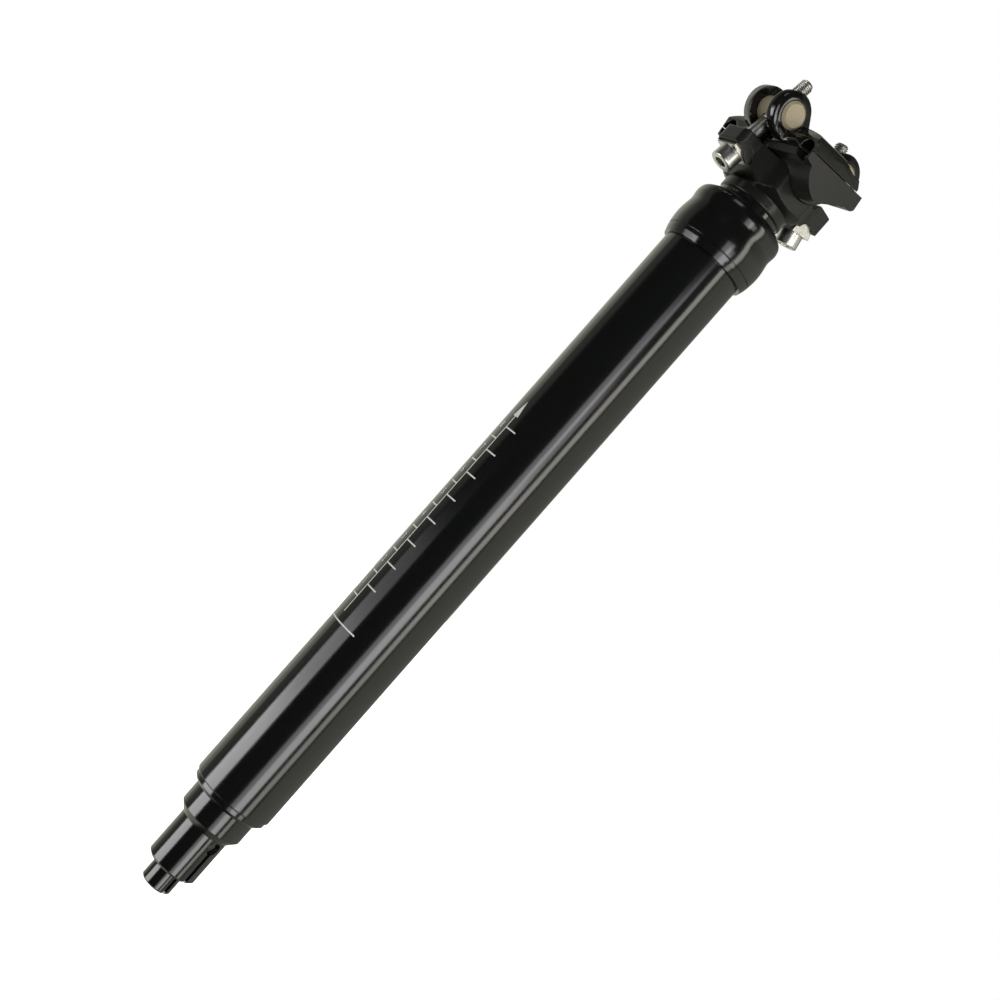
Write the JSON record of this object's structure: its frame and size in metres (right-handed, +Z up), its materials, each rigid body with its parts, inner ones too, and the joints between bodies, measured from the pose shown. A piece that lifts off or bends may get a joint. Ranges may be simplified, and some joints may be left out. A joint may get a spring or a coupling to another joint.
{
  "type": "dropper seatpost",
  "caption": "Black dropper seatpost with a sliding inner post, a bolted saddle rail clamp and a cable-pulled release at its lower end.",
  "frame": {"origin": "on the post's axis at the underside of the collar", "axes": "+Z up the post towards the saddle clamp, +X towards the bicycle's front, +Y towards its left side"},
  "size_m": [0.0509, 0.052, 0.3483],
  "materials": {
    "black_anodised": "gloss",
    "rubber": "matte",
    "bush_plastic": "satin",
    "steel": "satin",
    "raw_aluminium": "satin",
    "brass": "satin",
    "black_forged": "satin",
    "black_satin": "satin",
    "black_painted": "gloss",
    "nut_brass": "satin"
  },
  "bodies": {
    "lower_post": {"outer_tube": "black_anodised", "collar": "black_anodised", "wiper_seal": "rubber", "upper_bush": "bush_plastic", "bottom_cap": "black_anodised", "cap_oring": "rubber", "bottom_bumper": "rubber", "actuator_housing": "black_anodised", "cable_stop": "black_anodised", "lever_pin": "steel", "cartridge_rod": "steel", "main_piston": "raw_aluminium", "piston_ring": "rubber", "top_bumper": "rubber"},
    "upper_post": {"stanchion": "black_anodised", "lower_bush": "bush_plastic", "brass_keys": "brass", "head": "black_forged", "cartridge_plug": "raw_aluminium", "cartridge_cylinder": "raw_aluminium", "seal_head": "raw_aluminium", "rod_seal": "rubber"},
    "oil_divider": {"floating_piston": "raw_aluminium", "floating_ring": "rubber"},
    "rail_clamp": {"lower_cradle": "black_satin", "upper_clamp": "black_painted"},
    "front_screw": {"front_bolt": "steel", "front_washer": "steel"},
    "rear_screw": {"rear_bolt": "steel", "rear_washer": "steel"},
    "front_nut": {"front_barrel_nut": "nut_brass"},
    "rear_nut": {"rear_barrel_nut": "nut_brass"},
    "valve": {"valve_pin": "steel", "valve_spring": "steel"},
    "lever": {"actuator_lever": "steel"}
  },
  "joints": [
    {"name": "post_travel", "type": "slide", "parent": "lower_post", "child": "upper_post", "axis": [0, 0, 1], "range_m": [0, 0.125]},
    {"name": "oil_divider_slide", "type": "slide", "parent": "upper_post", "child": "oil_divider", "axis": [0, 0, 1], "range_m": [-0.0247, 0]},
    {"name": "saddle_tilt", "type": "hinge", "parent": "upper_post", "child": "rail_clamp", "pos_m": [0, 0, 0.0455], "axis": [0, 1, 0], "range_deg": [-8, 5]},
    {"name": "front_bolt_swing", "type": "hinge", "parent": "upper_post", "child": "front_screw", "pos_m": [0.0203, 0, 0.0316], "axis": [0, 1, 0], "range_deg": [-2.1, 1.4]},
    {"name": "rear_bolt_swing", "type": "hinge", "parent": "upper_post", "child": "rear_screw", "pos_m": [-0.0203, 0, 0.0316], "axis": [0, 1, 0], "range_deg": [-1.8, 1.2]},
    {"name": "front_nut_turn", "type": "hinge", "parent": "rail_clamp", "child": "front_nut", "pos_m": [0.01725, 0, 0.05279], "axis": [0, 1, 0], "range_deg": [-4.1, 6.4]},
    {"name": "rear_nut_turn", "type": "hinge", "parent": "rail_clamp", "child": "rear_nut", "pos_m": [-0.01469, 0, 0.05441], "axis": [0, 1, 0], "range_deg": [-4.3, 6.7]},
    {"name": "valve_push", "type": "slide", "parent": "lower_post", "child": "valve", "axis": [0, 0, 1], "range_m": [0, 0.0015], "stiffness_N_per_m": 2000, "springref_m": -0.001, "deforming": ["valve_spring"]},
    {"name": "lever_swing", "type": "hinge", "parent": "lower_post", "child": "lever", "pos_m": [-0.0005, 0.00173, -0.2577], "axis": [-0.9613, -0.2756, 0], "range_deg": [0, 23]}
  ],
  "couplings": [
    {"joint": "oil_divider_slide", "follows": "post_travel", "ratio": -0.1975},
    {"joint": "front_bolt_swing", "follows": "saddle_tilt", "ratio": 0.237},
    {"joint": "rear_bolt_swing", "follows": "saddle_tilt", "ratio": 0.203},
    {"joint": "front_nut_turn", "follows": "saddle_tilt", "ratio": -0.763},
    {"joint": "rear_nut_turn", "follows": "saddle_tilt", "ratio": -0.797},
    {"joint": "lever_swing", "follows": "valve_push", "rad_per_m": 263}
  ]
}
